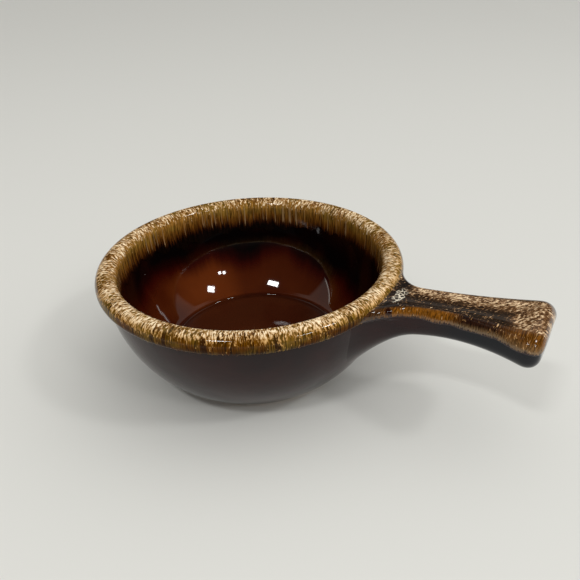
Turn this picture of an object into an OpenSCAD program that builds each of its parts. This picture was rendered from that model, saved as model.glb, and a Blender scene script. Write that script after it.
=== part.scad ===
// Stoneware soup bowl with one stick handle and a frothy drip glaze over its rim.
// The table is at z = 0, the bowl's axis is Z, and the handle points along +X.
// All sizes are those of the bare fired clay, in millimetres. The coats of glaze add to them.

/* [Bowl] */
// Width over the rolled rim
rim_d = 131.2; // [120:0.2:150]
// Height of the rim above the table
bowl_h = 52.1; // [46:0.1:60]
// How far the belly's widest place lies below the rim's top
belly_drop = 4.7; // [3:0.1:8]
// Width of the heel, where the belly turns under
heel_d = 84.4; // [70:0.2:96]
// Radius of the turn at the heel
heel_round = 2; // [1:0.1:4]
// Thickness of the wall
wall_t = 4.6; // [3.6:0.1:6]
// Thickness of the floor
floor_t = 4.5; // [3.5:0.1:6]
// Radius inside, where the wall turns into the floor
well_round = 5; // [3:0.1:9]
// Radius of the groove pressed round the edge of the floor
groove_r = 1.2; // [0.8:0.1:2]
// Depth of that groove
groove_depth = 0.4; // [0.2:0.05:0.7]

/* [Rim] */
// Thickness of the rolled rim
roll_d = 7.2; // [6:0.1:9]
// How far the roll stands out past the wall
roll_out = 3.3; // [2:0.1:4.5]

/* [Foot] */
// Height of the foot ring, which is also the height of the recess inside it
foot_h = 3.5; // [2:0.1:5]
// How far the foot ring stands in from the heel's turn
foot_inset = 3; // [2:0.1:6]
// Width of the foot ring
foot_w = 3.8; // [3:0.1:6]
// Radius on the foot ring's two lower edges
foot_round = 0.8; // [0.4:0.05:1.2]

/* [Handle] */
// Length of the handle, from the wall to its end
handle_l = 61.3; // [50:0.1:75]
// How far the handle's top at the wall lies below the rim's top
handle_drop = 1.2; // [0.5:0.1:5]
// How far the handle's top climbs from the wall to the end
handle_rise = 4.8; // [0:0.1:7]
// Distance from the wall to the waist, where the handle is narrowest
waist_at = 20; // [14:0.1:30]
// Width at the wall, without the fillets
root_w = 22.3; // [19:0.1:28]
// Width at the waist
waist_w = 17.5; // [13:0.1:21]
// Width at the end
end_w = 34.8; // [26:0.1:40]
// Distance from the wall to the crown of the arch underneath, where the handle is thinnest
arch_at = 34; // [26:0.1:42]
// Depth at the wall, without the fillets
root_h = 19.7; // [17:0.1:23]
// Depth at the crown of the arch
arch_h = 13.2; // [11:0.1:16]
// Depth at the end
end_h = 16.6; // [14:0.1:20]
// Radius of the fillets from the handle's sides to the wall
side_fillet = 13; // [8:0.1:15]
// Radius of the fillet from the handle's underside to the wall
under_fillet = 17.2; // [12:0.1:21]
// Depth of the dish along the handle's top
dish_depth = 1.6; // [0.5:0.1:2.5]
// Radius of the end's corners, seen from above
end_round = 6.3; // [4:0.1:8]
// Radius of the end's upper and lower edges, seen from the side
end_edge_round = 5.2; // [3:0.1:6]

/* [Glaze] */
// Thickness of the brown coat
brown_t = 0.4; // [0.3:0.05:0.6]
// Thickness of the frothy coat over it
drip_t = 0.5; // [0.3:0.05:0.7]
// How far the brown coat stops short of the foot ring
dry_gap = 0.8; // [0.5:0.1:1.5]
// How far the frothy coat runs down the wall below the roll
drip_below_roll = 0.7; // [0.3:0.1:1.5]
// How far the frothy coat runs down inside, before its tongues
drip_inside = 12; // [9:0.1:15]
// Number of tongues round its inside edge
tongues = 40; // [24:1:44]
// Mean radius of a tongue's round end
tongue_r = 3.6; // [3:0.1:4]
// How much longer or shorter than the mean a tongue may be
tongue_swing = 1.8; // [0:0.1:2]
// How far the frothy coat runs down the handle's sides
drip_side = 5.6; // [4.5:0.1:6.5]
// Height of the waves in its edge there
side_wave = 0.7; // [0:0.1:1]

/* [Hidden] */
$fn = 120;

// One overrun serves all cuts
overrun = 2;
drip_coat_t = brown_t + drip_t;

// The rolled rim: its outer side is an arc about roll_x, its inner side one about lip_x
roll_r = roll_d / 2;
roll_x = rim_d / 2 - roll_r;
roll_z = bowl_h - roll_r;

// The belly is one arc from the wall's widest place to the heel, upright where it starts
wall_r = rim_d / 2 - roll_out;
belly_z = bowl_h - belly_drop;
belly_dx = wall_r - heel_d / 2;
belly_dz = belly_z - foot_h;
belly_r = (belly_dx ^ 2 + belly_dz ^ 2) / (2 * belly_dx);
belly_x = wall_r - belly_r;
inner_r = wall_r - wall_t;
lip_x = inner_r + roll_r;
floor_z = foot_h + floor_t;

// Middles of the rounded corners at the heel and where the inside wall meets the floor
function corner_x(r, low, corner) = belly_x + sqrt((r - corner) ^ 2 - (belly_z - low - corner) ^ 2);
heel_x = corner_x(belly_r, foot_h, heel_round);
well_x = corner_x(belly_r - wall_t, floor_z, well_round);
foot_r = heel_x - foot_inset;
recess_r = foot_r - foot_w;

// Points along an arc about [x, z], from one angle to another, ends included
function arc(x, z, r, from, to, steps) =
    [for (i = [0 : steps]) let(a = from + (to - from) * i / steps) [x + r * cos(a), z + r * sin(a)]];
function tail(list) = [for (i = [1 : len(list) - 1]) list[i]];
function reverse(list) = [for (i = [len(list) - 1 : -1 : 0]) list[i]];

// Where two circles cross, on the left of the way from the first middle to the second
function crossing(x1, z1, r1, x2, z2, r2) =
    let(dx = x2 - x1, dz = z2 - z1, l = norm([dx, dz]),
        along = (r1 ^ 2 - r2 ^ 2 + l ^ 2) / (2 * l),
        off = sqrt(r1 ^ 2 - along ^ 2))
    [x1 + (along * dx - off * dz) / l, z1 + (along * dz + off * dx) / l];

// Down the belly's arc from an angle, and round a corner until it runs level at low
belly_steps = 20;
corner_steps = 5;
function cup_side(r, low, corner, start) =
    let(x = corner_x(r, low, corner), turn = atan2(low + corner - belly_z, x - belly_x))
    concat(arc(belly_x, belly_z, r, start, turn, belly_steps),
           tail(arc(x, low + corner, corner, turn, -90, corner_steps)));

// The bowl's outer side, grown by a coat, from the rim's crest to the heel's underside
roll_steps = 16;
function outer_side(coat) =
    let(meet = crossing(roll_x, roll_z, roll_r + coat, belly_x, belly_z, belly_r + coat),
        roll_end = atan2(meet[1] - roll_z, meet[0] - roll_x),
        belly_start = atan2(meet[1] - belly_z, meet[0] - belly_x))
    concat([[lip_x, bowl_h + coat]],
           arc(roll_x, roll_z, roll_r + coat, 90, roll_end, roll_steps),
           tail(cup_side(belly_r + coat, foot_h - coat, heel_round + coat, belly_start)));

// The bowl's inner side, with a coat on it, from the rim's crest to the edge of the floor
lip_steps = 9;
function inner_wall(coat) =
    concat(arc(lip_x, roll_z, roll_r + coat, 90, 180, lip_steps),
           cup_side(belly_r - wall_t - coat, floor_z + coat, well_round - coat, 0));

// The groove round the floor, and the floor to the bowl's axis
groove_steps = 6;
groove_half = sqrt(groove_r ^ 2 - (groove_r - groove_depth) ^ 2);
function floor_side(coat) =
    let(above = groove_r - groove_depth, tilt = asin((above - coat) / (groove_r - coat)))
    concat(arc(well_x - groove_half, floor_z + above, groove_r - coat, -tilt, tilt - 180, groove_steps),
           [[0, floor_z + coat]]);
function inner_side(coat) = concat(inner_wall(coat), floor_side(coat));

// The outside of the clay as seen by the handle: the belly, the roll, and a soft valley between
crease_softness = 1.2;
roll_run_off_share = 4;
function belly_side(z) = belly_x + sqrt(belly_r ^ 2 - min(z - belly_z, 0) ^ 2);
function roll_side(z) =
    abs(z - roll_z) < roll_r
    ? roll_x + sqrt(roll_r ^ 2 - (z - roll_z) ^ 2)
    : roll_x - roll_run_off_share * (abs(z - roll_z) - roll_r);
function wall_x(z) =
    let(a = belly_side(z), b = roll_side(z)) (a + b + sqrt((a - b) ^ 2 + crease_softness ^ 2)) / 2;

// Handle: everything is a function of d, the distance out from the wall. Width and depth each
// follow two half parabolas, which meet level at the least value.
root_top_z = bowl_h - handle_drop;
function soft_step(t) = let(u = max(0, min(1, t))) u * u * (3 - 2 * u);
function two_parabolas(d, at, root, least, end) =
    d < at
    ? least + (root - least) * ((at - max(d, 0)) / at) ^ 2
    : least + (end - least) * ((d - at) / (handle_l - at)) ^ 2;
function handle_top(d) = root_top_z + handle_rise * max(d, 0) / handle_l;
function handle_low(d) = handle_top(d) - two_parabolas(d, arch_at, root_h, arch_h, end_h);
function handle_half(d) = two_parabolas(d, waist_at, root_w, waist_w, end_w) / 2;

// A fillet of radius r, with a coat on it: an arc that lands on the wall at a small angle
landing = 0.35;
function fillet(r, d, coat) = r - sqrt(max((r - coat) ^ 2 - max(r - d - landing, 0) ^ 2, 0));

// The end's edges: how far a quarter circle of radius r has drawn in at d, with a coat on it
function end_draw(r, d, coat) =
    let(k = max(0, min(1, (d - handle_l + r) / (r + coat)))) (r + coat) * (1 - sqrt(1 - k * k));

// The valley where the top meets the roll, and the dish along the top
valley_lift = 0.6;
valley_l = 3;
dish_start = 2;
dish_full = 14;
dish_root_share = 0.5;
dish_width_share = 0.82;
function valley(d) = valley_lift * max(0, 1 - max(d, 0) / valley_l) ^ 2;
function dish(d) =
    dish_depth * (dish_root_share + (1 - dish_root_share) * soft_step((d - dish_start) / dish_full))
    * (1 - soft_step((d - handle_l + 2 * end_edge_round) / (2 * end_edge_round)));

// A cross-section is a squarish oval; near the wall it bends round the bowl
oval_power = 2.6;
bend_l = 22;
surfaces_crossed = 6;
function oval(v) = sign(v) * abs(v) ^ (2 / oval_power);
function handle_point(d, angle, coat) =
    let(side = handle_half(d) + fillet(side_fillet, d, coat) - end_draw(end_round, d, coat),
        high = handle_top(d) + valley(d) + coat - end_draw(end_edge_round, d, coat),
        low = handle_low(d) - fillet(under_fillet, d, coat) + end_draw(end_edge_round, d, coat),
        mid = (handle_top(d) + handle_low(d)) / 2,
        across = oval(cos(angle)),
        up = oval(sin(angle)),
        y = side * across,
        hollow = dish(d) * max(0, 1 - (across / dish_width_share) ^ 2) ^ 2,
        z = up > 0 ? mid + (high - mid - hollow) * up : mid + (mid - low) * up,
        bent = sqrt((wall_x(min(z, bowl_h)) + d) ^ 2 - y ^ 2),
        bend = 1 - soft_step(d / bend_l))
    [bend * bent + (1 - bend) * (wall_r + d), y, z];

// Where the cross-sections stand: inside the wall, close together up the fillets, then along
// the stick, and round the end
root_bed = 2.4;
fillet_steps = 8;
stick_steps = 8;
end_steps = 6;
section_sides = 28;
stick_l = handle_l - end_round - under_fillet;
function stations(coat) = concat(
    [-root_bed],
    [for (i = [1 : fillet_steps]) under_fillet * (i / fillet_steps) ^ 2],
    [for (i = [1 : stick_steps]) under_fillet + stick_l * i / stick_steps],
    [for (i = [1 : end_steps]) handle_l - end_round + (end_round + coat) * sin(90 * i / end_steps)]);

// The handle's whole form, grown by a coat
module handle_form(coat) {
    at = stations(coat);
    rows = len(at);
    n = section_sides;
    rings = [for (d = at) for (j = [0 : n - 1]) handle_point(d, 360 * j / n, coat)];
    root_mid = [wall_r - root_bed, 0, (handle_top(0) + handle_low(0)) / 2];
    end_mid = [wall_r + handle_l + coat, 0, (handle_top(handle_l) + handle_low(handle_l)) / 2];
    sides = [for (i = [0 : rows - 2]) for (j = [0 : n - 1])
        let(a = i * n + j, b = i * n + (j + 1) % n)
        each [[a, a + n, b + n], [a, b + n, b]]];
    root_cap = [for (j = [0 : n - 1]) [rows * n, j, (j + 1) % n]];
    end_cap = [for (j = [0 : n - 1]) [rows * n + 1, (rows - 1) * n + (j + 1) % n, (rows - 1) * n + j]];
    polyhedron(concat(rings, [root_mid, end_mid]), concat(sides, root_cap, end_cap), convexity = surfaces_crossed);
}

// Foot ring, its two lower edges rounded, from the outside to the inside
foot_steps = 3;
function foot_side() =
    concat([[foot_r, foot_h]],
           arc(foot_r - foot_round, foot_round, foot_round, 0, -90, foot_steps),
           arc(recess_r + foot_round, foot_round, foot_round, -90, -180, foot_steps),
           [[recess_r, foot_h], [0, foot_h]]);

// Everything inside the bowl's outer surface, grown by a coat
module filled_bowl(coat) {
    rotate_extrude()
        polygon(concat([[0, bowl_h + coat]], outer_side(coat), [[0, foot_h - coat]]));
}

// The tongues of the frothy coat: round ends that hang below its edge by a changing length
first_swing = 3;
second_swing = 7;
second_swing_start = 50;
size_swing_share = 0.16;
size_swing_turn = 137;
mask_depth_share = 1.5;
function tongue_drop(i) =
    tongue_swing * (sin(360 * first_swing * i / tongues)
                    + sin(360 * second_swing * i / tongues + second_swing_start)) / 2;
function tongue_size(i) = tongue_r * (1 + size_swing_share * sin(size_swing_turn * i));
module tongue_mask() {
    edge_z = bowl_h - drip_inside;
    translate([0, 0, edge_z])
        cylinder(r = rim_d, h = drip_inside + drip_coat_t + overrun);
    for (i = [0 : tongues - 1])
        rotate([0, 0, 360 * i / tongues])
            translate([inner_r - wall_t, 0, edge_z - tongue_drop(i)])
                rotate([0, 90, 0])
                    cylinder(r = tongue_size(i), h = wall_t * mask_depth_share);
}

// The side view of the frothy coat's reach on the handle, with waves in its lower edge
wave_steps = 28;
wave_count = 4.5;
second_wave_count = 6.5;
second_wave_start = 40;
second_wave_share = 0.6;
function side_edge_z(s) =
    handle_top(s * handle_l) - drip_side
    + side_wave * (sin(360 * wave_count * s)
                   + second_wave_share * sin(360 * second_wave_count * s + second_wave_start));
module side_mask() {
    start = belly_x;
    reach = wall_r + handle_l + overrun;
    top = bowl_h + handle_rise + overrun + drip_coat_t;
    rotate([90, 0, 0])
        linear_extrude(end_w + 2 * side_fillet, center = true)
            polygon(concat(
                [[start, top], [start, side_edge_z(0)]],
                [for (i = [0 : wave_steps])
                    let(s = i / wave_steps) [wall_r + s * (reach - wall_r), side_edge_z(s)]],
                [[reach, top]]));
}

module bowl_body() {
    color("tan")
        rotate_extrude()
            polygon(concat(outer_side(0), foot_side(), reverse(tail(inner_side(0)))));
}

module handle() {
    color("burlywood")
        difference() {
            handle_form(0);
            filled_bowl(0);
        }
}

module inside_glaze() {
    color("saddlebrown")
        rotate_extrude()
            polygon(concat(inner_side(0), reverse(inner_side(brown_t))));
}

module outside_glaze() {
    end_x = foot_r + dry_gap;
    color([0.24, 0.13, 0.1])
        difference() {
            rotate_extrude()
                polygon(concat(outer_side(0), [[end_x, foot_h], [end_x, foot_h - brown_t]],
                               reverse(outer_side(brown_t))));
            handle_form(0);
        }
}

module base_glaze() {
    color([0.3, 0.16, 0.1])
        translate([0, 0, foot_h - brown_t])
            cylinder(r = recess_r, h = brown_t);
}

module handle_glaze() {
    color([0.2, 0.11, 0.09])
        difference() {
            handle_form(brown_t);
            handle_form(0);
            filled_bowl(brown_t);
        }
}

module rim_drip_glaze() {
    outside_edge_z = roll_z - roll_r - drip_below_roll;
    color("goldenrod")
        difference() {
            intersection() {
                rotate_extrude()
                    difference() {
                        polygon(concat(reverse(inner_wall(drip_coat_t)), outer_side(drip_coat_t),
                                       reverse(outer_side(brown_t)), inner_wall(brown_t)));
                        translate([inner_r, 0]) square([rim_d, outside_edge_z]);
                    }
                tongue_mask();
            }
            handle_form(brown_t);
        }
}

module handle_drip_glaze() {
    color("peru")
        difference() {
            intersection() {
                handle_form(drip_coat_t);
                side_mask();
            }
            handle_form(brown_t);
            filled_bowl(drip_coat_t);
        }
}

bowl_body();
handle();
inside_glaze();
outside_glaze();
base_glaze();
handle_glaze();
rim_drip_glaze();
handle_drip_glaze();
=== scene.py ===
"""A glazed stoneware soup bowl with one stick handle: its clay, its brown coats and its frothy coats.

Sizes are in millimetres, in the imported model's own frame: the table is z = 0, the bowl's axis is Z
and the handle points along +X. Each coat is a closed skin over the clay.
"""

import bpy
import numpy as np
from mathutils import Matrix, Quaternion, Vector


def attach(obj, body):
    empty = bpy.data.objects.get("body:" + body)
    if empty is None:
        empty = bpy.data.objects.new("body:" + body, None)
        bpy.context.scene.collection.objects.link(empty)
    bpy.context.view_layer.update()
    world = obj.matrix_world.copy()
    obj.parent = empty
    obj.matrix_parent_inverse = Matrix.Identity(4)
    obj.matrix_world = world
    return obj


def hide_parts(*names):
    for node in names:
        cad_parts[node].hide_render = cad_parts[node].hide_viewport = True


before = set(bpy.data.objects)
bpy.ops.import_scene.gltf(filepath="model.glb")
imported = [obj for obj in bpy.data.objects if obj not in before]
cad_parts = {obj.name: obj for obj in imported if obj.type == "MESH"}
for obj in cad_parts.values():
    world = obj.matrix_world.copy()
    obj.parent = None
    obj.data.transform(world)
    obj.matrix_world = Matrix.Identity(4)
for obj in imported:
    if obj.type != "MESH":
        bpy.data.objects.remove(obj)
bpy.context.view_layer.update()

MM = 0.001
WELD = 1e-4  # points of a mesh this near each other are one
REPEAT = 1e-6  # points of a profile this near each other are one
CREASE = 50  # an edge that turns by more degrees than this stays sharp

# Bowl, bare clay
rim_d = 131.2
bowl_h = 52.1
belly_drop = 4.7  # from the rim's crest down to the middle of the belly's arc
heel_d = 84.4
heel_round = 2.0
wall_t = 4.6
floor_t = 4.5
well_round = 5.0  # corner between the inside wall and the floor
groove_r = 1.2
groove_depth = 0.4
roll_d = 7.2
roll_out = 3.3  # how far the roll stands out of the wall
foot_h = 3.5
foot_inset = 3.0
foot_w = 3.8
foot_round = 0.8

# Handle, bare clay
handle_l = 61.3
handle_drop = 1.2  # from the rim's crest down to the stick's top at the wall
handle_rise = 4.8
waist_at = 20.0
root_w = 22.3
waist_w = 17.5
end_w = 34.8
arch_at = 34.0
root_h = 19.7
arch_h = 13.2
end_h = 16.6
side_fillet = 13.0
under_fillet = 17.2
dish_depth = 1.8
end_round = 6.3  # corners of the end, seen from above
end_edge_round = 5.2  # its upper and lower edges

# Handle, finer shape
root_bed = 1.6  # how deep the root is let into the wall
crease_softness = 1.2  # between roll and belly, where the stick is luted on
roll_run_off_share = 4  # how steeply its surface runs off above and below the roll
landing = 0.35  # the fillets' arcs are sunk this far into the wall
valley_lift = 0.2  # the top lifts by this over valley_l, next to the wall
valley_l = 3.0
dish_root_share = 0.85  # the share of the dish's depth that it has next to the wall
dish_start = 2.0  # from here it deepens to the full depth, over dish_full
dish_full = 14.0
dish_flat_share = 0.4  # its flat middle and its whole width, as shares of the section's
dish_width_share = 0.84
bend_l = 22.0  # the sections bend round the bowl less and less as far as this
oval_power = 2.6

# Coats
brown_t = 0.4
froth_t = 0.5
dry_gap = 0.8  # bare clay between the outside coat and the foot ring
pool_share = 0.5  # the outside coat is thicker by this share, pool_at above its edge
pool_at = 1.2
pool_w = 0.9
brown_edge_w = 0.5  # its edge is rounded over this width
base_pool_share = 1.2  # the base coat is thicker by this share where it meets the ring
base_pool_w = 1.6
bury = 0.2  # how deep the frothy coats reach into the brown ones

# Frothy coat on the rim
froth_below_roll = 0.7
froth_inside = 13.5
froth_outside_w = 0.8  # its outside edge is rounded over this width
froth_inside_w = 5.0  # and its inside edge thins out over this
past_edge = 0.4  # past its edge it sinks in by this share of its thickness
froth_spare = 9.0  # the profile goes on this far past the middle of the waves
slow_wave = (1.6, 3, 0.0)  # height, count round the bowl, start
middle_wave = (1.0, 7, 0.9)
fine_wave = (0.8, 31, 2.0)
tongue_l = 1.7
tongue_pairs = 20
tongue_sway = (1.5, 3, 0.0)  # a wave in their spacing, so that their widths differ

# Frothy coat on the stick
froth_side = 5.1  # from the stick's top down to the coat's edge
end_side = 1.8  # further down by this towards the end
end_side_at = 0.75  # from this share of the stick's length on
side_wave = 0.2
side_waves = 4.5  # on the whole length
side_ripple = 0.6  # a second wave, as a share of the first
side_ripples = 6.5
side_ripple_start = 0.7
froth_side_w = 1.6  # its edge is rounded over this height
froth_side_kept = 0.6  # the skin goes on this far below its edge
foam_place = (69.8, -1.6, 51.6)
foam_shape = (1.15, 0.5, 1.0)
drop_place = (69.3, -11.4, 48.6)
foam_span = (5.4, 4.4)  # its outline, before the noise moves it in
foam_sway = 4.4
drop_t = 0.5
drop_r = 1.3
drop_span = (2.2, 1.0)

# How finely the surfaces are cut
roll_steps = 72
lip_steps = 36
belly_steps = 64
corner_steps = 16
groove_steps = 16
floor_steps = 23
foot_steps = 8
recess_steps = 39
outside_step = 0.6
froth_step = 0.42
body_turns = 256
inside_turns = 300
outside_turns = 320
base_turns = 192
froth_turns = 560
section_sides = 176
fillet_steps = 40
stick_steps = 70
end_steps = 24
end_rings = 8
root_rings = 12

# Worked out from them
roll_r = roll_d / 2
roll_x = rim_d / 2 - roll_r
roll_z = bowl_h - roll_r
wall_r = rim_d / 2 - roll_out
belly_z = bowl_h - belly_drop
belly_dx = wall_r - heel_d / 2
belly_r = (belly_dx**2 + (belly_z - foot_h) ** 2) / (2 * belly_dx)
belly_x = wall_r - belly_r
inner_r = wall_r - wall_t
lip_x = inner_r + roll_r
floor_z = foot_h + floor_t
root_top_z = bowl_h - handle_drop


def corner_x(r, low, corner):
    """Distance from the axis to the middle of the arc that turns a cup's side into its base."""
    return belly_x + np.sqrt((r - corner) ** 2 - (belly_z - low - corner) ** 2)


heel_x = corner_x(belly_r, foot_h, heel_round)
well_x = corner_x(belly_r - wall_t, floor_z, well_round)
foot_r = heel_x - foot_inset
recess_r = foot_r - foot_w


def soft_step(t):
    """Rises from 0 to 1 as t does, level at both ends."""
    u = np.clip(t, 0, 1)
    return u * u * (3 - 2 * u)


def round_edge(t):
    """A coat's share of its thickness at its edge: a quarter circle from t = 0 to 1, t itself below."""
    return np.where(t > 0, np.sqrt(1 - (1 - np.abs(t)) ** 2), t)


def wave(turn, height, count, start):
    """A sine wave with a count of crests in a full turn."""
    return height * np.sin(count * turn + start)


def round_turn(steps):
    """Angles spread evenly over a full turn, in radians."""
    return np.linspace(0, 2 * np.pi, steps, endpoint=False)


def arc(x, z, r, start, end, steps):
    """Points of a circle about (x, z), the angle going evenly from start to end, in degrees."""
    turn = np.radians(np.linspace(start, end, steps + 1))
    return np.stack([x + r * np.cos(turn), z + r * np.sin(turn)], axis=1)


def cup_side(r, low, corner, start):
    """The belly's arc from an angle down to its tangent corner arc, which ends level at low."""
    x = corner_x(r, low, corner)
    turn = np.degrees(np.arctan2(low + corner - belly_z, x - belly_x))
    belly = arc(belly_x, belly_z, r, start, turn, belly_steps)
    return np.concatenate([belly, arc(x, low + corner, corner, turn, -90, corner_steps)[1:]])


def crossing(x1, z1, r1, x2, z2, r2):
    """Where two circles cross, on the left of the way from the first middle to the second."""
    dx, dz = x2 - x1, z2 - z1
    apart = np.hypot(dx, dz)
    along = (r1**2 - r2**2 + apart**2) / (2 * apart)
    off = np.sqrt(r1**2 - along**2)
    return x1 + (along * dx - off * dz) / apart, z1 + (along * dz + off * dx) / apart


def outer_side(coat):
    """Outside profile with a coat on it: crest, round the roll, down the belly, under the heel."""
    meet_x, meet_z = crossing(roll_x, roll_z, roll_r + coat, belly_x, belly_z, belly_r + coat)
    roll_end = np.degrees(np.arctan2(meet_z - roll_z, meet_x - roll_x))
    belly_start = np.degrees(np.arctan2(meet_z - belly_z, meet_x - belly_x))
    roll = arc(roll_x, roll_z, roll_r + coat, 90, roll_end, roll_steps)
    belly = cup_side(belly_r + coat, foot_h - coat, heel_round + coat, belly_start)
    return np.concatenate([[[lip_x, bowl_h + coat]], roll, belly[1:]])


def inner_side(coat):
    """Inside profile with a coat on it: crest, down the lip and the wall, the groove, the floor."""
    lip = arc(lip_x, roll_z, roll_r + coat, 90, 180, lip_steps)
    wall = cup_side(belly_r - wall_t - coat, floor_z + coat, well_round - coat, 0)
    above = groove_r - groove_depth
    half = np.sqrt(groove_r**2 - above**2)
    tilt = np.degrees(np.arcsin((above - coat) / (groove_r - coat)))
    groove = arc(well_x - half, floor_z + above, groove_r - coat, -tilt, tilt - 180, groove_steps)
    reach = groove[-1, 0] * np.linspace(1, 0, floor_steps + 1)[1:]
    level = np.stack([reach, np.full(len(reach), floor_z + coat)], axis=1)
    return np.concatenate([lip, wall, groove, level])


def foot_side():
    """The foot ring's profile with two rounded lower edges, and the recess inside it."""
    outer = arc(foot_r - foot_round, foot_round, foot_round, 0, -90, foot_steps)
    inner = arc(recess_r + foot_round, foot_round, foot_round, -90, -180, foot_steps)
    return np.concatenate([[[foot_r, foot_h]], outer, inner, [[recess_r, foot_h], [0, foot_h]]])


def lengths(path):
    """Distance along a path to each of its points."""
    return np.concatenate([[0], np.cumsum(np.hypot(*np.diff(path, axis=0).T))])


inside_path = inner_side(brown_t)
inside_lengths = lengths(inside_path)
inside_run = inside_lengths[-1]
well_run = inside_lengths[np.argmax(inside_path[:, 0] < well_x)]


def even_path(path, step):
    """The path with points step apart, their distances along it, and the normals on its left."""
    run = lengths(path)
    keep = np.diff(run, prepend=-1) > REPEAT
    path, run = path[keep], run[keep]
    at = np.linspace(0, run[-1], int(run[-1] / step) + 1)
    points = np.stack([np.interp(at, run, path[:, k]) for k in (0, 1)], axis=1)
    ahead = np.gradient(points, at, axis=0)
    ahead /= np.linalg.norm(ahead, axis=1, keepdims=True)
    return points, at, np.stack([-ahead[:, 1], ahead[:, 0]], axis=1)


def revolve(path, turns):
    """A profile carried round Z: one row of the grid for each angle, one column for each point.

    A path with a row for each angle is a profile that changes on its way round.
    """
    x, z = path[..., 0], path[..., 1]
    cos, sin = np.cos(turns)[:, None], np.sin(turns)[:, None]
    return np.stack(np.broadcast_arrays(x * cos, x * sin, z), axis=2)


def grid_faces(rows, columns, wrap_rows=False, wrap_columns=False):
    """The quads of a grid of rows by columns, closed on itself where asked."""
    i = np.arange(rows if wrap_rows else rows - 1)[:, None]
    j = np.arange(columns if wrap_columns else columns - 1)[None, :]
    i, j = np.broadcast_arrays(i, j)
    a, b = i * columns + j, (i + 1) % rows * columns + j
    c, d = (i + 1) % rows * columns + (j + 1) % columns, i * columns + (j + 1) % columns
    return np.stack([a, b, c, d], axis=-1).reshape(-1, 4)


def closed_skin(over, under, faces):
    """Two sheets with the same faces, the lower one turned over, and a wall round every free edge.

    Faces on which the sheets fall together enclose nothing, so they are left out of both.
    """
    count = len(over)
    apart = np.abs(over - under).max(axis=1) > WELD
    faces = faces[apart[faces].any(axis=1)]
    edges = np.stack([faces, np.roll(faces, -1, axis=1)], axis=-1).reshape(-1, 2)
    key = edges.min(axis=1) * count + edges.max(axis=1)
    _, place, number = np.unique(key, return_inverse=True, return_counts=True)
    free = edges[number[place] == 1]
    wall = np.stack([free[:, 1], free[:, 0], free[:, 0] + count, free[:, 1] + count], axis=1)
    return np.concatenate([over, under]), np.concatenate([faces, faces[:, ::-1] + count, wall])


def weld(points, faces):
    """Points that fall together become one: which of them stay, and the faces on those."""
    key = np.round(points / WELD).astype(np.int64)
    _, first, place = np.unique(key, axis=0, return_index=True, return_inverse=True)
    return first, place.reshape(-1)[faces]


def build(name, points, faces, finish, slot, node, **marks):
    """Makes one piece from points in millimetres and quads, with its marks for the finish.

    Where welded corners leave a quad three different corners it becomes a triangle. The whole is
    turned over if its volume comes out negative, so that its faces point outwards.
    """
    first, quads = weld(points, faces)
    corners = points[first]
    same = quads == np.roll(quads, -1, axis=1)
    lost = same.sum(axis=1)
    whole = quads[lost == 0]
    gone = np.argmax(same[lost == 1], axis=1)
    others = (gone[:, None] + np.array([1, 2, 3])) % 4
    bent = np.take_along_axis(quads[lost == 1], others, axis=1)
    triangles = np.concatenate([whole[:, :3], whole[:, [0, 2, 3]], bent])
    a, b, c = (corners[triangles[:, k]] for k in range(3))
    if np.einsum("ij,ij->", a, np.cross(b, c)) < 0:
        whole, bent = whole[:, ::-1], bent[:, ::-1]
    mesh = bpy.data.meshes.new(name)
    mesh.from_pydata((corners * MM).tolist(), [], whole.tolist() + bent.tolist())
    mesh.polygons.foreach_set("use_smooth", np.ones(len(mesh.polygons), dtype=bool))
    mesh.set_sharp_from_angle(angle=np.radians(CREASE))
    for mark, values in marks.items():
        values = np.asarray(values, np.float32).reshape(len(points), -1)[first]
        kind, field = ("FLOAT_VECTOR", "vector") if values.shape[1] == 3 else ("FLOAT", "value")
        mesh.attributes.new(mark, kind, "POINT").data.foreach_set(field, values.ravel())
    mesh.materials.append(finish)
    piece = bpy.data.objects.new(name, mesh)
    bpy.context.scene.collection.objects.link(piece)
    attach(piece, "root")
    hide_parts(node)


def build_coat(name, over, under, faces, finish, slot, node, **marks):
    """Makes one coat from its two grids and their quads. Both grids have the same marks."""
    points, all_faces = closed_skin(over.reshape(-1, 3), under.reshape(-1, 3), faces)
    marks = {mark: np.concatenate([values, values]) for mark, values in marks.items()}
    build(name, points, all_faces, finish, slot, node, **marks)


def colour(code):
    """The linear colour that a written six-digit screen colour stands for."""
    parts = np.array([int(code[k:k + 2], 16) for k in (0, 2, 4)]) / 255
    linear = np.where(parts <= 0.04045, parts / 12.92, ((parts + 0.055) / 1.055) ** 2.4)
    return (*linear.tolist(), 1.0)


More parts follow.
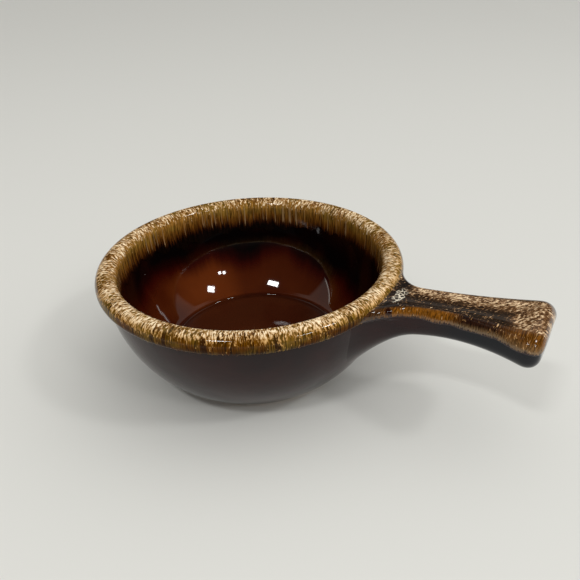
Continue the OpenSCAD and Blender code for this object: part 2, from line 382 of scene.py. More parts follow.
class Nodes:
    """A node tree being filled. An input is a number, six digits of colour or an output."""

    def __init__(self, tree):
        self.tree = tree

    def feed(self, socket, value):
        """A number or colour is set on the socket itself, and an output is linked to it."""
        if isinstance(value, bpy.types.NodeSocket):
            self.tree.links.new(value, socket)
        else:
            socket.default_value = colour(value) if isinstance(value, str) else value

    def add(self, kind, inputs=None, **settings):
        """A new node with its settings, and its inputs by name or number."""
        node = self.tree.nodes.new("ShaderNode" + kind)
        for setting, value in settings.items():
            setattr(node, setting, value)
        for socket, value in (inputs or {}).items():
            self.feed(node.inputs[socket], value)
        return node

    def math(self, operation, *values):
        """One operation on one to three numbers."""
        return self.add("Math", dict(enumerate(values)), operation=operation).outputs[0]

    def total(self, first, *others):
        """The sum of all values."""
        for other in others:
            first = self.math("ADD", first, other)
        return first

    def product(self, first, *others):
        """All values times each other."""
        for other in others:
            first = self.math("MULTIPLY", first, other)
        return first

    def swing(self, noise, size):
        """Noise less its middle value, times a size."""
        return self.product(self.math("SUBTRACT", noise, 0.5), size)

    def rise(self, value, start, end, low=0.0, high=1.0):
        """Goes smoothly from low to high while the value goes from start to end."""
        inputs = {"Value": value, "From Min": start, "From Max": end, "To Min": low, "To Max": high}
        return self.add("MapRange", inputs, interpolation_type="SMOOTHSTEP").outputs["Result"]

    def vector(self, operation, a, b):
        """One operation on two vectors, which gives a number for a distance or a dot product."""
        output = "Value" if operation in ("DISTANCE", "DOT_PRODUCT") else "Vector"
        return self.add("VectorMath", {0: a, 1: b}, operation=operation).outputs[output]

    def scaled(self, vector, shares):
        """The vector times one number, or times a number for each axis."""
        if np.isscalar(shares):
            shares = (shares, shares, shares)
        return self.vector("MULTIPLY", vector, shares)

    def facing(self, vector, degrees, level=1.0, up=0.0):
        """The vector's dot product with an angle round Z, times level, and with the upward axis."""
        a = np.radians(degrees)
        return self.vector("DOT_PRODUCT", vector, (level * np.cos(a), level * np.sin(a), up))

    def split(self, vector):
        """The vector's x, y and z."""
        return self.add("SeparateXYZ", {0: vector}).outputs

    def join(self, x, y, z):
        """The vector of x, y and z."""
        return self.add("CombineXYZ", {0: x, 1: y, 2: z}).outputs[0]


class Finish(Nodes):
    """A material being made."""

    def __init__(self, name, roughness, ior=1.5):
        self.material = bpy.data.materials.new(name)
        self.material.use_nodes = True
        super().__init__(self.material.node_tree)
        self.shader = self.tree.nodes["Principled BSDF"]
        self.feed(self.shader.inputs["Roughness"], roughness)
        self.feed(self.shader.inputs["IOR"], ior)

    def mark(self, name, output="Fac"):
        """One of the piece's own marks."""
        return self.add("Attribute", attribute_name=name).outputs[output]

    def object_place(self):
        """Object coordinates in millimetres."""
        return self.scaled(self.add("TexCoord").outputs["Object"], 1 / MM)

    def noise(self, place, scale, detail=2.0, roughness=0.5, output="Fac"):
        """Smooth noise whose lumps are about 1 / scale millimetres wide."""
        inputs = {"Vector": self.scaled(place, scale), "Scale": 1.0, "Detail": detail,
                  "Roughness": roughness}
        return self.add("TexNoise", inputs).outputs[output]

    def cells(self, place, scale, feature="F1"):
        """Distance to the middle, or to the edge, of cells about 1 / scale millimetres wide."""
        inputs = {"Vector": self.scaled(place, scale), "Scale": 1.0}
        return self.add("TexVoronoi", inputs, feature=feature).outputs["Distance"]

    def ramp(self, value, stops):
        """Colours by value, from (place, colour) pairs."""
        node = self.add("ValToRGB", {"Fac": value})
        marks = node.color_ramp.elements
        while len(marks) < len(stops):
            marks.new(1.0)
        for mark, (place, tint) in zip(marks, stops):
            mark.position = place
            mark.color = colour(tint)
        return node.outputs["Color"]

    def mix(self, share, first, second):
        """The first colour where the share is 0, the second where it is 1, and between them."""
        node = self.add("Mix", {"Factor": share}, data_type="RGBA")
        self.feed(node.inputs["A"], first)
        self.feed(node.inputs["B"], second)
        return node.outputs["Result"]

    def paint(self, tint, height=None, depth=0.0, gloss=0.5):
        """Sets the colour and gloss and, from a height, the bump, whose depth is in millimetres."""
        self.feed(self.shader.inputs["Base Color"], tint)
        self.feed(self.shader.inputs["Specular IOR Level"], gloss)
        if height is not None:
            bump = self.add("Bump", {"Distance": depth * MM, "Height": height})
            self.feed(self.shader.inputs["Normal"], bump.outputs["Normal"])
        return self.material


cream = "FCE8C4"
pale_pink = "E8CCA4"
tan = "AE8248"
olive = "6E5A22"
bark = "2A1508"
jet = "060303"
slate = "1E1B1A"
amber = "704410"
charcoal_brown = "281010"
buff = "C9A57C"


def bare_clay(name):
    """Dry fired buff stoneware: fine grain, iron specks, and a faint darker stain."""
    f = Finish(name, roughness=0.85)
    place = f.object_place()
    stain = f.noise(place, 0.12, detail=3)
    grain = f.noise(place, 2.2, detail=4, roughness=0.65)
    specks = f.rise(f.cells(place, 0.8), 0.16, 0.1, 0.0, 0.7)
    tint = f.mix(f.rise(stain, 0.35, 0.65), buff, "A9825A")
    return f.paint(f.mix(specks, tint, "5A3A22"), grain, 0.12)


def toward(f, flow, degrees):
    """1 on the side of the bowl at an angle from the handle, 0 a quarter turn away from it."""
    return f.math("MAXIMUM", f.facing(flow, degrees, 1 / roll_x), 0.0)


# Inside brown coat. A span is where a change starts and where it is full, in mm.
black_sway = 16.0  # slow noise moves the black's edge up and down by about a quarter of this
black_streak = 3.0
black_shifts = (  # angle from the handle, how closely it faces it, and the shift in mm
    (152, 0.88, 2.5), (104, 0.93, 2.5), (128, 0.98, -2.0), (50, 0.6, -5.0), (195, 0.75, 6.0))
# The lighter lobe is a painted reflection of the pale floor on the wall towards one side.
painted_reflection_azimuth = 158
painted_reflection_faces = 0.88
painted_reflection_start_share = 0.36  # of the whole run
painted_reflection_full_share = 0.46
well_start = -1.0  # from the floor's edge
well_full = 3.5
# The dark ring round the floor is painted shade.
shade_ring_at = 1.0
shade_ring_span = (3.5, 1.0)


def inside_brown(name):
    """Glossy brown: black where it is thick below the froth and red-brown lower down, with a lighter
    red-brown lobe on one side that is a painted reflection of the pale floor.

    The colour goes by the run from the rim's crest, moved up and down by slow and fine noise.
    """
    f = Finish(name, roughness=0.04)
    flow = f.mark("flow", "Vector")
    down = f.split(flow)[2]
    sway = f.noise(flow, (0.05, 0.05, 0.015))
    streak = f.noise(flow, (0.45, 0.45, 0.05), detail=3)
    edge = f.total(down, f.swing(sway, black_sway), f.swing(streak, black_streak))
    # The black ends higher up where shift is positive, and lower down where it is negative.
    for azimuth, faces, shift in black_shifts:
        edge = f.total(edge, f.rise(toward(f, flow, azimuth), faces, 1.0, 0.0, shift))
    tint = f.ramp(f.math("DIVIDE", edge, inside_run), [
        (0.28, jet), (0.33, "1A0302"), (0.37, "320903"), (0.43, "441806"), (0.52, "481C08"),
        (0.62, "3C1406"), (1.0, "3E1508")])
    # A lighter red-brown lobe towards one side: painted reflection of the pale floor
    painted_reflection = f.product(f.rise(toward(f, flow, painted_reflection_azimuth), painted_reflection_faces, 1.0, 0.0, 0.6),
                     f.rise(edge, painted_reflection_start_share * inside_run, painted_reflection_full_share * inside_run))
    tint = f.mix(painted_reflection, tint, "6C310E")
    # The floor, and a dark ring of painted shade in the corner round it
    tint = f.mix(f.rise(down, well_run + well_start, well_run + well_full), tint, "3A190B")
    off_shade_ring = f.math("ABSOLUTE", f.math("SUBTRACT", down, well_run + shade_ring_at))
    tint = f.mix(f.rise(off_shade_ring, *shade_ring_span, 0.0, 0.6), tint, "1E0804")
    cloud = f.noise(f.object_place(), 0.05)
    tint = f.mix(f.rise(cloud, 0.45, 0.75, 0.0, 0.35), tint, "2A0602")
    return f.paint(tint, f.noise(f.object_place(), 0.09, detail=1), 0.05)


blue_span = (72.0, 105.0)  # from the axis out along the stick


def outside_brown(name):
    """Glossy charcoal brown, cloudy, with fine lighter specks, and bluer towards the stick's end."""
    f = Finish(name, roughness=0.12, ior=1.36)
    place = f.object_place()
    cloud = f.noise(place, 0.06, detail=3)
    specks = f.noise(place, 1.5)
    tint = f.mix(f.rise(cloud, 0.35, 0.7), charcoal_brown, "1B0C0E")
    tint = f.mix(f.rise(specks, 0.62, 0.8, 0.0, 0.5), tint, "2E1D19")
    tint = f.mix(f.rise(f.split(place)[0], *blue_span, 0.0, 0.8), tint, "0D171E")
    return f.paint(tint, f.noise(place, 0.12), 0.12)


def flecks_over(f, ground, place, shift, core, border, fleck=(1.3, 0.5), strand=(2.5, 0.62)):
    """Pale flecks with tan borders over a ground colour.

    place is in mm, with z along the flow. shift moves the share that is covered. fleck and strand
    are the scales, across and along, of the broad and the thin noise whose sum makes the flecks.
    Hands back the colour and the flecks' height.
    """
    bend = f.noise(place, (0.16, 0.16, 0.12), detail=1, output="Color")
    bend = f.scaled(f.vector("SUBTRACT", bend, (0.5, 0.5, 0.5)), (3.5, 3.5, 0))
    bent = f.vector("ADD", place, bend)
    broad = f.noise(bent, (fleck[0], fleck[0], fleck[1]), roughness=0.55)
    thin = f.noise(bent, (strand[0], strand[0], strand[1]), roughness=0.6)
    body = f.total(f.product(broad, 0.54), f.product(thin, 0.46), shift)
    tint = f.mix(f.rise(body, 0.48, 0.6), border, core)
    return f.mix(f.rise(body, 0.45, 0.495), ground, tint), body


def streaked(f, ground, place, across, along, low, high):
    """The ground colour made darker and lighter, from low to high, in fine streaks along the flow."""
    streak = f.noise(place, (across, across, along), detail=3, roughness=0.6)
    share = f.rise(streak, 0.34, 0.66, low, high)
    return f.scaled(ground, f.join(share, share, share))


def foam(f, tint):
    """Dried foam where the stick meets the rim: a pale net of cells within a wavering outline, and
    a round dark drop on the near side."""
    place = f.object_place()
    wobble = f.noise(place, 0.5, detail=1)
    off = f.scaled(f.vector("SUBTRACT", place, foam_place), foam_shape)
    far = f.total(f.vector("DISTANCE", off, (0, 0, 0)), f.product(wobble, foam_sway))
    near = f.rise(far, *foam_span)
    net = f.rise(f.cells(place, 0.62, "DISTANCE_TO_EDGE"), 0.13, 0.06)
    tint = f.mix(f.product(near, 0.6), tint, "3A332C")
    tint = f.mix(f.product(near, net, f.rise(wobble, 0.3, 0.5, 0.4, 1.0)), tint, "E4DAC4")
    pool = f.rise(f.vector("DISTANCE", place, drop_place), *drop_span)
    return f.mix(pool, tint, "1E0906")


# Frothy coat on the rim: spans of the run over the rim, 0 on the crest and negative outside
streak_ends = 10.0  # the streaks inside end at most this far apart
streak_sway = 7.0
streak_ends_span = (2.0, 8.0)
ground_from = -10.0
ground_l = 26.0
olive_span = (10.0, 7.0)
gap_span = (-1.5, -4.0)
froth_sides = ((290, 0.03), (25, 0.03), (190, 0.025))  # angle from the handle, more flecks
froth_fades = (  # start, full, fewer flecks
    (2.6, 8.0, -0.16), (9.0, 12.0, -0.3), (-2.5, -7.5, -0.15))
cream_span = (-1.0, -5.0)
tip_span = (4.0, 6.0)
tip_end_span = (14.0, 12.0)
gloss_span = (-5.0, -6.8)


def rim_froth(name):
    """The frothy coat over the rim: cream flecks on the crest, gold and olive streaks that run in
    and darken, and a brown lower edge outside.

    down is the run over the rim in mm, 0 on the crest and negative outside. reach is the same with
    the streaks' uneven ends inside.
    """
    f = Finish(name, roughness=0.05, ior=1.36)
    flow = f.mark("flow", "Vector")
    down = f.split(flow)[2]
    ends = f.noise(flow, (0.9, 0.9, 0.05), detail=3, roughness=0.6)
    sway = f.noise(flow, (0.05, 0.05, 0.0), detail=1)
    uneven = f.total(f.swing(ends, -streak_ends), f.swing(sway, streak_sway))
    reach = f.total(down, f.product(uneven, f.rise(down, *streak_ends_span)))
    ground = f.ramp(f.math("DIVIDE", f.math("SUBTRACT", reach, ground_from), ground_l), [
        (0.0, "341C08"), (0.04, "381E06"), (0.12, "462704"), (0.22, "543204"), (0.33, "4E300E"),
        (0.46, "5C3A12"), (0.60, "8C6228"), (0.72, "6C4617"), (0.84, "4A290A"), (0.91, "2A1204"),
        (0.97, "0C0503")])
    hue = f.noise(flow, 0.09)
    greener = f.product(f.rise(hue, 0.42, 0.62), f.rise(reach, *olive_span, 0.0, 0.5))
    ground = f.mix(greener, ground, olive)
    ground = streaked(f, ground, flow, across=2.2, along=0.16, low=0.35, high=1.9)
    gaps = f.noise(flow, (0.3, 0.3, 0.02))
    gap = f.product(f.rise(gaps, 0.59, 0.65), f.rise(down, *gap_span), 0.8)
    ground = f.mix(gap, ground, bark)
    # More flecks in patches and on three sides, fewer down the inside and down the outside
    shift = f.total(-0.045, f.swing(f.noise(flow, 0.11, detail=1), 0.2))
    for azimuth, more in froth_sides:
        shift = f.total(shift, f.product(toward(f, flow, azimuth), more))
    for start, full, fewer in froth_fades:
        shift = f.total(shift, f.rise(down, start, full, 0.0, fewer))
    core = f.mix(f.rise(down, *cream_span), cream, "D4AA6E")
    tint, body = flecks_over(f, ground, flow, shift, core, tan)
    # Pale tips on some of the streaks inside
    tips = f.noise(flow, (1.1, 1.1, 0.02), detail=1)
    tip = f.product(f.rise(tips, 0.61, 0.68), f.rise(down, *tip_span), f.rise(reach, *tip_end_span), 0.6)
    tint = f.mix(tip, tint, "A98A62")
    return f.paint(foam(f, tint), body, 0.025, f.rise(down, *gloss_span, 0.5, 0.08))


# Frothy coat on the stick: spans of the distance from the wall, then of the height over its edge
end_span = (46.0, 56.0)
far_half_span = (6.0, 14.0)
slate_span = (15.0, 6.0)
root_span = (5.0, 1.5)
root_flecks_span = (5.0, 1.0)
lower_span = (30.0, 36.0)
side_flecks_span = (40.0, 56.0)
hem_along_span = (8.0, 34.0)
hem_span = (2.2, 1.4)
fuzz_span = (1.2, 0.3)
fuzz_sway = 4.0
end_sway = 20.0
band_sway = 10.0
fleck_lean = 40  # degrees
far_drop_share = 0.14  # on the far side the top's pattern goes further down by this


def handle_froth(name):
    """The frothy coat on the stick: flecks on its far half and its end, a dark trough along the
    near half, and an amber band down the near side that turns dark past the middle.

    along, around and height are in mm. across is 0 on the middle of the top, 1 where the near side
    is widest and -1 where the far side is. near is its size, a little less on the far side.
    """
    f = Finish(name, roughness=0.06, ior=1.42)
    along, around, height = f.split(f.mark("flow", "Vector"))
    across = f.mark("across")
    near = f.math("MAXIMUM", across, f.math("MULTIPLY_ADD", across, -1.0, -far_drop_share))
    # On top the flecks lie aslant, and on the sides they hang straight down.
    lean, straight = np.sin(np.radians(fleck_lean)), np.cos(np.radians(fleck_lean))
    over = f.total(f.product(along, lean), f.product(around, straight))
    with_it = f.total(f.product(along, straight), f.product(around, -lean))
    on_top = f.join(over, 0.0, with_it)
    on_side = f.join(along, 0.0, height)
    patch = f.noise(f.join(along, around, 0.0), (0.1, 0.16, 0.1))
    wander = f.swing(patch, 0.6)
    far = f.rise(f.total(across, wander), 0.12, -0.26)
    end = f.rise(f.total(along, f.product(wander, end_sway)), *end_span)
    dense = f.math("MAXIMUM", f.product(far, f.rise(along, *far_half_span)), end)
    ground = f.mix(dense, "261C14", "4E3520")
    ground = f.mix(f.rise(along, *slate_span, 0.0, 0.7), ground, slate)
    ground = f.mix(f.rise(along, *root_span, 0.0, 0.7), ground, "4A3622")
    ground = streaked(f, ground, on_top, across=2.2, along=0.6, low=0.5, high=1.7)
    shift = f.total(-0.115, f.product(dense, 0.11), f.rise(along, *root_flecks_span, 0.0, 0.09),
                    f.product(end, -0.025), f.swing(patch, 0.2))
    top, body = flecks_over(f, ground, on_top, shift, pale_pink, "8A6440",
                            fleck=(1.4, 0.6), strand=(2.7, 0.9))
    band = f.ramp(f.math("DIVIDE", f.total(along, f.product(wander, band_sway)), handle_l), [
        (0.06, "3A2412"), (0.13, amber), (0.45, amber), (0.56, "22110A"), (0.74, "2A170C"),
        (0.84, "54320E"), (1.0, "5C380E")])
    lower = f.product(f.rise(near, 0.68, 0.8), f.rise(along, *lower_span), 0.6)
    band = f.mix(lower, band, "6E5436")
    band = streaked(f, band, on_side, across=2.6, along=0.5, low=0.35, high=1.8)
    side_shift = f.rise(along, *side_flecks_span, -0.14, -0.11)
    side, _ = flecks_over(f, band, on_side, side_shift, pale_pink, "A87C48",
                          fleck=(1.6, 0.7), strand=(3.0, 1.0))
    tint = f.mix(f.rise(f.total(near, f.product(wander, 0.2)), 0.46, 0.54), top, side)
    tint = f.mix(f.rise(across, -0.46, -0.54, 0.0, 0.7), tint, slate)
    # Along its edge the coat is a dull tan, and past that the brown shows in a fuzzy line.
    fuzz = f.noise(on_side, (2.2, 0.0, 0.5), detail=3)
    low = f.math("SUBTRACT", height, f.swing(fuzz, fuzz_sway))
    hem = f.product(f.rise(low, *hem_span), f.rise(along, *hem_along_span, 0.15, 0.5))
    tint = f.mix(hem, tint, "8C765A")
    tint = f.mix(f.rise(low, *fuzz_span), tint, charcoal_brown)
    return f.paint(foam(f, tint), body, 0.04)


def make_body():
    """The clay bowl: its outside, foot and inside profiles as one closed outline, carried round Z."""
    path = np.concatenate([outer_side(0), foot_side(), inner_side(0)[::-1]])
    points = revolve(path, round_turn(body_turns))
    faces = grid_faces(*points.shape[:2], wrap_rows=True)
    build("bowl_clay", points.reshape(-1, 3), faces, bare_clay("dry_clay"), "bare_clay", "bowl_body")


def make_round_coat(name, over, under, run, turns, finish, slot, node):
    """A coat as a skin between two profiles with as many points, carried round Z.

    Its streaks follow flow: the place round the roll, at its width, and the run over the rim.
    """
    over, under = revolve(over, turns), revolve(under, turns)
    faces = grid_faces(*over.shape[:2], wrap_rows=True)
    flow = revolve(np.stack([np.full(len(run), roll_x), run], axis=1), turns)
    build_coat(name, over, under, faces, finish, slot, node, flow=flow)


def make_inside():
    """Brown coat on the inside, from the rim's crest to the bowl's axis."""
    make_round_coat("inside_brown_coat", inside_path, inner_side(0), inside_lengths,
                    round_turn(inside_turns), inside_brown("inside_brown"),
                    "inside_brown_glaze", "inside_glaze")


def make_outside():
    """Brown coat on the outside. Its edge near the foot is rounded, and the glaze has pooled just
    above it, by a share that falls off as a bell curve."""
    clay = np.concatenate([outer_side(0), [[foot_r + dry_gap, foot_h]]])
    under, run, left = even_path(clay, outside_step)
    to_edge = run[-1] - run
    pooled = brown_t * (1 + pool_share * np.exp(-((to_edge - pool_at) / pool_w) ** 2))
    thick = pooled * round_edge(np.clip(to_edge / brown_edge_w, 0, 1))
    make_round_coat("outside_brown_coat", under + left * thick[:, None], under, -run,
                    round_turn(outside_turns), outside_brown("outside_brown"),
                    "outside_brown_glaze", "outside_glaze")


def make_base():
    """Brown coat in the recess inside the foot ring, thicker where it meets the ring."""
    reach = recess_r * np.sin(np.linspace(0, np.pi / 2, recess_steps + 1))
    climb = soft_step((reach - recess_r + base_pool_w) / base_pool_w) ** 2
    thick = brown_t * (1 + base_pool_share * climb)
    over = np.stack([reach, foot_h - thick], axis=1)
    under = np.stack([reach, np.full(len(reach), foot_h)], axis=1)
    make_round_coat("base_brown_coat", over, under, reach, round_turn(base_turns),
                    outside_brown("base_brown"), "base_brown_glaze", "base_glaze")


def make_rim_froth():
    """Frothy coat over the rim. Its thickness is full over the roll, rounded off at its edge under
    the roll, and thins out inside along an edge that waves and hangs in tongues. The waves are
    sines of the angle, and the tongues are the size of another, whose angle sways."""
    turns = round_turn(froth_turns)
    outside = outer_side(brown_t)
    low = roll_z - roll_r - froth_below_roll
    outside = outside[:np.argmax(outside[:, 1] < low) + 1][::-1]
    longest = froth_inside + froth_spare
    inside = inside_path[np.abs(inside_path[:, 1] - bowl_h) < longest + 1]
    path, run, left = even_path(np.concatenate([outside, inside]), froth_step)
    run = run - lengths(outside)[-1]
    keep = run < longest
    path, run, left = path[keep], run[keep], left[keep]
    t = turns[:, None]
    tongues = np.abs(np.sin(tongue_pairs * t + wave(t, *tongue_sway)))
    edge = (froth_inside + wave(t, *slow_wave) + wave(t, *middle_wave) + tongue_l * tongues
            + wave(t, *fine_wave))
    # A notch is two rows wide at its tip, so that its sides share no edge.
    edge = np.maximum(edge, np.minimum(np.roll(edge, 1, axis=0), np.roll(edge, -1, axis=0)))
    inward = np.clip((edge - run) / froth_inside_w, -past_edge, 1)
    outward = np.clip((run - run[0]) / froth_outside_w, 0, 1)
    thick = froth_t * np.minimum(round_edge(inward), round_edge(outward))
    make_round_coat("rim_froth_coat", path + left * thick[..., None], path - left * bury, run, turns,
                    rim_froth("rim_froth"), "rim_froth_glaze", "rim_drip_glaze")


def wall_x(z):
    """Distance from the axis to the clay's outside at a height, softened where roll and belly meet."""
    belly = belly_x + np.sqrt(belly_r**2 - np.minimum(z - belly_z, 0) ** 2)
    off = np.abs(z - roll_z)
    roll = np.where(off < roll_r, roll_x + np.sqrt(np.maximum(roll_r**2 - off**2, 0)),
                    roll_x - roll_run_off_share * (off - roll_r))
    return (belly + roll + np.sqrt((belly - roll) ** 2 + crease_softness**2)) / 2


def two_parabolas(d, at, root, least, end):
    """Two half parabolas along the stick that meet level at the least value."""
    before = least + (root - least) * ((at - np.maximum(d, 0)) / at) ** 2
    after = least + (end - least) * ((d - at) / (handle_l - at)) ** 2
    return np.where(d < at, before, after)


def handle_top(d):
    """Height of the stick's top, which climbs in a straight line."""
    return root_top_z + handle_rise * np.maximum(d, 0) / handle_l


def handle_low(d):
    """Height of its underside, which arches up between the wall and the end."""
    return handle_top(d) - two_parabolas(d, arch_at, root_h, arch_h, end_h)


def handle_half(d):
    """Half its width, least at the waist."""
    return two_parabolas(d, waist_at, root_w, waist_w, end_w) / 2


def fillet(r, d, coat):
    """An arc of radius r, with a coat on it, that lands on the wall at a small angle."""
    return r - np.sqrt(np.maximum((r - coat) ** 2 - np.maximum(r - d - landing, 0) ** 2, 0))


def end_draw(r, d, coat):
    """How far a quarter circle of radius r has drawn in at d, with a coat on it."""
    k = np.clip((d - handle_l + r) / (r + coat), 0, 1)
    return (r + coat) * (1 - np.sqrt(1 - k * k))


def handle_point(d, angle, coat):
    """The stick's surface: a squarish oval section at each distance d from the wall.

    Its width and depth follow two half parabolas each, its fillets and rounded ends are arcs, a
    dish is pressed along its top, and near the wall the section bends round the bowl.
    """
    side = handle_half(d) + fillet(side_fillet, d, coat) - end_draw(end_round, d, coat)
    valley = valley_lift * np.maximum(0, 1 - np.maximum(d, 0) / valley_l) ** 2
    high = handle_top(d) + valley + coat - end_draw(end_edge_round, d, coat)
    low = handle_low(d) - fillet(under_fillet, d, coat) + end_draw(end_edge_round, d, coat)
    mid = (handle_top(d) + handle_low(d)) / 2
    across = np.sign(np.cos(angle)) * np.abs(np.cos(angle)) ** (2 / oval_power)
    up = np.sign(np.sin(angle)) * np.abs(np.sin(angle)) ** (2 / oval_power)
    y = side * across
    deepening = (1 - dish_root_share) * soft_step((d - dish_start) / dish_full)
    dish = dish_depth * (dish_root_share + deepening)
    dish = dish * (1 - soft_step((d - handle_l + 2 * end_edge_round) / (2 * end_edge_round)))
    from_edge = dish_width_share - np.abs(across)
    hollow = dish * soft_step(from_edge / (dish_width_share - dish_flat_share))
    z = np.where(up > 0, mid + (high - mid - hollow) * up, mid + (mid - low) * up)
    bent = np.sqrt(np.maximum((wall_x(np.minimum(z, bowl_h)) + d) ** 2 - y**2, 0))
    bend = 1 - soft_step(d / bend_l)
    return np.stack([bend * bent + (1 - bend) * (wall_r + d), y, z], axis=-1)


def stations(coat):
    """Distances of the sections: close together up the fillets, even along, and round the end."""
    climb = under_fillet * np.linspace(0, 1, fillet_steps + 1)[1:] ** 2
    stick = np.linspace(under_fillet, handle_l - end_round, stick_steps + 1)[1:]
    turn = np.radians(np.linspace(0, 90, end_steps + 1)[1:])
    end = handle_l - end_round + (end_round + coat) * np.sin(turn)
    return np.concatenate([[-root_bed, -root_bed / 2, 0], climb, stick, end])


def section_places(coat):
    """Distance and angle of each point of the stick's sections: a row for each section."""
    return np.meshgrid(stations(coat), round_turn(section_sides), indexing="ij")


def with_end(grid):
    """The grid with its last section closed in rings that shrink to the middle."""
    middle = np.array([grid[-1, 0, 0], 0, grid[-1, :, 2].mean()])
    shrink = np.linspace(1, 0, end_rings + 1)[1:, None, None]
    return np.concatenate([grid, middle + (grid[-1] - middle) * shrink])


def handle_grid(coat):
    """The stick's whole surface as a grid, with an even coat on it."""
    return with_end(handle_point(*section_places(coat), coat))


def make_handle_clay():
    """The clay stick, its root bedded in the bowl's wall and following the wall's curve."""
    grid = handle_grid(0.0)
    middle = grid[0, :, 2].mean()
    shrink = np.linspace(0, 1, root_rings + 1)[:-1, None]
    y, z = grid[0, :, 1] * shrink, middle + (grid[0, :, 2] - middle) * shrink
    x = np.sqrt((wall_x(np.minimum(z, bowl_h)) - root_bed) ** 2 - y**2)
    points = np.concatenate([np.stack([x, y, z], axis=-1), grid])
    faces = grid_faces(*points.shape[:2], wrap_columns=True)
    build("handle_clay", points.reshape(-1, 3), faces, bare_clay("dry_handle_clay"), "handle_clay",
          "handle")


def side_edge(along):
    """Height of the froth's lower edge on the stick's sides: below the top by a set drop, more at
    the end, and with the sum of two sine waves on it."""
    share = along / handle_l
    turn = 2 * np.pi * share
    waves = wave(turn, 1, side_waves, 0) + wave(turn, side_ripple, side_ripples, side_ripple_start)
    end = end_side * soft_step((share - end_side_at) / (1 - end_side_at))
    return handle_top(along) - froth_side - end + side_wave * waves


def make_handle_coat(name, over, under, finish, slot, node, keep=None):
    """A coat on the stick between two grids. keep leaves out the quads where it is false.

    Its pattern follows flow, which is the distance from the wall, the distance round the section
    from the middle of its top, and the height above the froth's edge. across is the distance round
    as a share of the way from the middle of the top to the side.
    """
    faces = grid_faces(*over.shape[:2], wrap_columns=True)
    if keep is not None:
        faces = faces[keep.reshape(-1)[faces].any(axis=1)]
    gaps = np.linalg.norm(over - np.roll(over, 1, axis=1), axis=2)
    run = np.cumsum(gaps, axis=1)
    top, side = section_sides // 4, section_sides // 2
    around = run - run[:, top, None]
    whole = gaps.sum(axis=1, keepdims=True)
    around = np.where(around > whole / 2, around - whole, around)
    # The ring in the middle of the end has no width.
    across = around / np.maximum(around[:, side, None], REPEAT)
    along = over[..., 0] - wall_r
    flow = np.stack([along, around, over[..., 2] - side_edge(along)], axis=-1)
    build_coat(name, over, under, faces, finish, slot, node, flow=flow, across=across)


def make_handle_brown():
    """Brown coat round the stick, even all over."""
    make_handle_coat("handle_brown_coat", handle_grid(brown_t), handle_grid(0.0),
                     outside_brown("handle_brown"), "handle_brown_glaze", "handle_glaze")


def make_handle_froth():
    """Frothy coat on the top and the upper sides, with a drop by the wall, whose height is a bell
    curve. Its thickness is rounded off at the waving edge and goes under the brown coat past it."""
    brown = handle_grid(brown_t)
    above = brown[..., 2] - side_edge(brown[..., 0] - wall_r)
    thick = froth_t * round_edge(np.clip(above / froth_side_w, -past_edge, 1))
    to_drop = np.linalg.norm(brown - np.array(drop_place), axis=2)
    thick = thick + drop_t * np.exp(-(to_drop / drop_r) ** 2)
    d, angle = section_places(brown_t)
    thick = thick[:len(d)]
    round_end = np.clip(d - handle_l + end_round, 0, end_round) / end_round
    over = with_end(handle_point(d + round_end * thick, angle, brown_t + thick))
    make_handle_coat("handle_froth_coat", over, handle_grid(brown_t - bury),
                     handle_froth("handle_froth"), "handle_froth_glaze", "handle_drip_glaze",
                     keep=above > -froth_side_kept)


make_body()
make_inside()
make_outside()
make_base()
make_rim_froth()
make_handle_clay()
make_handle_brown()
make_handle_froth()

# Floor
floor_half_m = 12.0
corners = [(x * floor_half_m, y * floor_half_m, 0) for x, y in ((-1, -1), (1, -1), (1, 1), (-1, 1))]
floor_mesh = bpy.data.meshes.new("floor")
floor_mesh.from_pydata(corners, [], [(0, 1, 2, 3)])
floor = bpy.data.objects.new("floor", floor_mesh)
bpy.context.scene.collection.objects.link(floor)
floor_mesh.materials.append(Finish("pale_floor", roughness=0.8).paint("D8D8D3"))


def lamp(name, azimuth, elevation, width, height, radiance, turn=0.0, distance=1.5):
    """A rectangular lamp towards a direction from the bowl, its size and distance in metres."""
    a, e = np.radians([azimuth, elevation])
    place = Vector((np.cos(a) * np.cos(e), np.sin(a) * np.cos(e), np.sin(e))) * distance
    data = bpy.data.lights.new(name, "AREA")
    data.shape = "RECTANGLE"
    data.size = width
    data.size_y = height
    data.energy = radiance * np.pi * width * height
    holder = bpy.data.objects.new(name, data)
    holder.location = place
    facing = place.to_track_quat("Z", "Y") @ Quaternion((0, 0, 1), np.radians(turn))
    holder.rotation_euler = facing.to_euler()
    bpy.context.scene.collection.objects.link(holder)


# The lamps make the glints in the glaze.
lamp("lamp_front", azimuth=-88, elevation=54.1, width=0.26, height=0.115, radiance=41)
lamp("lamp_side_first", azimuth=-21.1, elevation=37.9, width=0.072, height=0.072, radiance=42)
lamp("lamp_side_second", azimuth=-16.0, elevation=36.6, width=0.072, height=0.072, radiance=42)
lamp("lamp_right", azimuth=6, elevation=45.9, width=0.16, height=0.16, radiance=36, turn=42)

# Dome: brightness at the horizon, overhead, on its brighter side and below
dome_low = 0.04
dome_high = 0.56
dome_side = 0.94
dome_under = 0.35
dome_under_from = -0.02
dome_under_full = -0.2
dome_azimuth = 24.0
dome_side_level = 0.66
dome_side_up = 0.75
dome_side_power = 1.5
dome_tint = (1.0, 0.99, 0.97, 1.0)

# Room and its pale sheet. Heights are from 0 at the horizon to 1 overhead.
room_horizon = 0.15
room_top = 0.02
room_top_at = 0.3
room_tint = (1.0, 0.95, 0.87, 1.0)
sheet_glow = 0.4
sheet_azimuth = 128.0
sheet_side = 0.02
sheet_side_soft = 0.04
sheet_top = 0.93
sheet_top_soft = 0.07
hem_height = 0.385
hem_soft = 0.025
hem_slope = 0.25
hem_line_glow = 4.5
hem_line_azimuth = -175.0
hem_line_half_w = 0.011
hem_line_start = 0.765
hem_line_full = 0.81


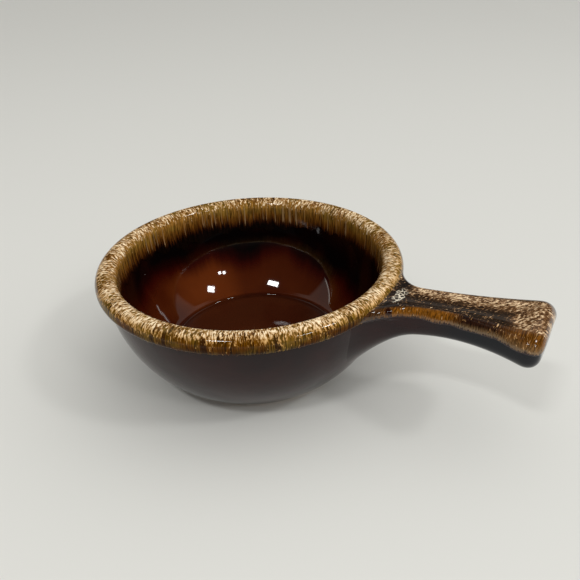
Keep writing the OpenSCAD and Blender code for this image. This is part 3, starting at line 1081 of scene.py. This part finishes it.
def studio():
    """What the camera and reflections see is a dim room with a pale sheet behind the bowl, whose
    lower hem slopes and has a bright line on one side. All other light is a dome that is brighter
    overhead and on one side, and lights what faces down a little."""
    world = bpy.data.worlds.new("studio")
    world.use_nodes = True
    world.node_tree.nodes.clear()
    n = Nodes(world.node_tree)
    place = n.add("TexCoord").outputs["Generated"]
    height = n.split(place)[2]

    behind = n.facing(place, sheet_azimuth)
    hem = n.math("MULTIPLY_ADD", behind, -hem_slope, height)
    sheet = n.product(n.rise(behind, sheet_side - sheet_side_soft, sheet_side + sheet_side_soft,
                             0.0, sheet_glow),
                      n.rise(height, sheet_top, sheet_top - sheet_top_soft),
                      n.rise(hem, hem_height - hem_soft, hem_height + hem_soft))
    off_hem = n.math("ABSOLUTE", n.math("SUBTRACT", hem, hem_height))
    line = n.product(n.rise(off_hem, hem_line_half_w, 0.0, 0.0, hem_line_glow),
                     n.rise(n.facing(place, hem_line_azimuth), hem_line_start, hem_line_full))
    wall = n.rise(height, 0.0, room_top_at, room_horizon, room_top)
    glow = n.math("MAXIMUM", n.math("MAXIMUM", sheet, line), wall)
    room = n.add("Background", {"Color": room_tint, "Strength": glow}).outputs[0]

    side = n.facing(place, dome_azimuth, dome_side_level, dome_side_up)
    side = n.math("POWER", n.math("MAXIMUM", side, 0.0), dome_side_power)
    over = n.math("MULTIPLY_ADD", n.math("MAXIMUM", height, 0.0), dome_high - dome_low, dome_low)
    under = n.rise(height, dome_under_from, dome_under_full, 0.0, dome_under)
    glow = n.total(over, under, n.product(side, dome_side))
    dome = n.add("Background", {"Color": dome_tint, "Strength": glow}).outputs[0]

    rays = n.add("LightPath").outputs
    seen = n.math("MAXIMUM", rays["Is Camera Ray"], rays["Is Glossy Ray"])
    seen = n.math("MAXIMUM", seen, rays["Is Transmission Ray"])
    light = n.add("MixShader", {0: seen, 1: dome, 2: room}).outputs[0]
    n.add("OutputWorld", {"Surface": light})
    bpy.context.scene.world = world


studio()

# Camera: the photograph's viewpoint, from a fit of the rim, the body and the stick
focal_px = 601.7
frame_px = 580.0
look_azimuth = 31.69
look_down = 30.66
camera_roll = -2.54
camera_distance = 272.6
aim_height = 31.8
shift_right = 16.77
shift_up = 1.47
sensor_w = 36.0
clip_start_m = 0.01


def place_camera():
    """Puts the camera at its distance from the aim point, turned by its azimuth, dip and roll."""
    a, e, r = np.radians([look_azimuth, look_down, camera_roll])
    ahead = np.array([-np.sin(a) * np.cos(e), np.cos(a) * np.cos(e), -np.sin(e)])
    level = np.array([np.cos(a), np.sin(a), 0])
    upright = np.cross(level, ahead)
    right = np.cos(r) * level + np.sin(r) * upright
    up = -np.sin(r) * level + np.cos(r) * upright
    aim = np.array([0, 0, aim_height])
    place = aim - ahead * camera_distance + right * shift_right + up * shift_up
    data = bpy.data.cameras.new("camera")
    data.sensor_width = sensor_w
    data.lens = focal_px / frame_px * sensor_w
    data.clip_start = clip_start_m
    holder = bpy.data.objects.new("camera", data)
    turned = Matrix(np.stack([right, up, -ahead], axis=1).tolist()).to_4x4()
    holder.matrix_world = Matrix.Translation(Vector(place * MM)) @ turned
    bpy.context.scene.collection.objects.link(holder)
    bpy.context.scene.camera = holder


place_camera()
bpy.context.scene.view_settings.view_transform = "Standard"
